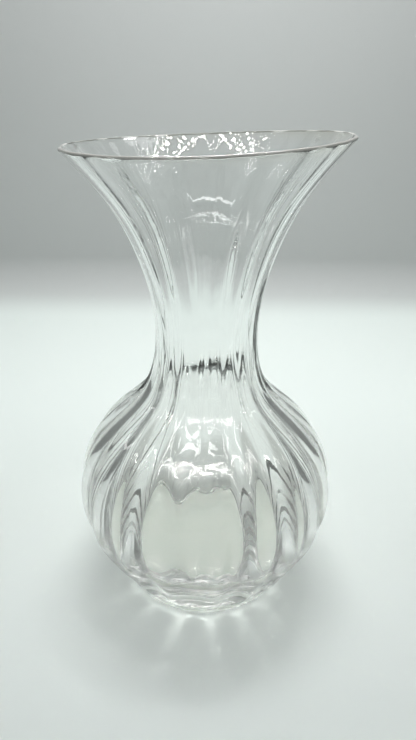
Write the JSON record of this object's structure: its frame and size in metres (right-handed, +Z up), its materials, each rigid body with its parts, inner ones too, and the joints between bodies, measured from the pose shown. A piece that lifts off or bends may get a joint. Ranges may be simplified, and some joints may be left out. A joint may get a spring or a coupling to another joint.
{
  "type": "fan vase",
  "caption": "Free-standing clear glass flower vase: ribbed globe, narrow neck and wide flared mouth on a low round foot.",
  "frame": {"origin": "centre of the ring that the vase stands on, on the resting plane", "axes": "+Z up along the vase's axis, towards the mouth; +X to the right and -Y towards the viewer, as in the picture"},
  "size_m": [0.1278, 0.1276, 0.2194],
  "materials": {
    "body_glass": "clear blown soda-lime glass, fire-polished, soft optic ribs",
    "foot_glass": "clear pressed soda-lime glass, polished"
  },
  "bodies": {
    "root": {"body": "body_glass", "foot": "foot_glass"}
  },
  "joints": []
}
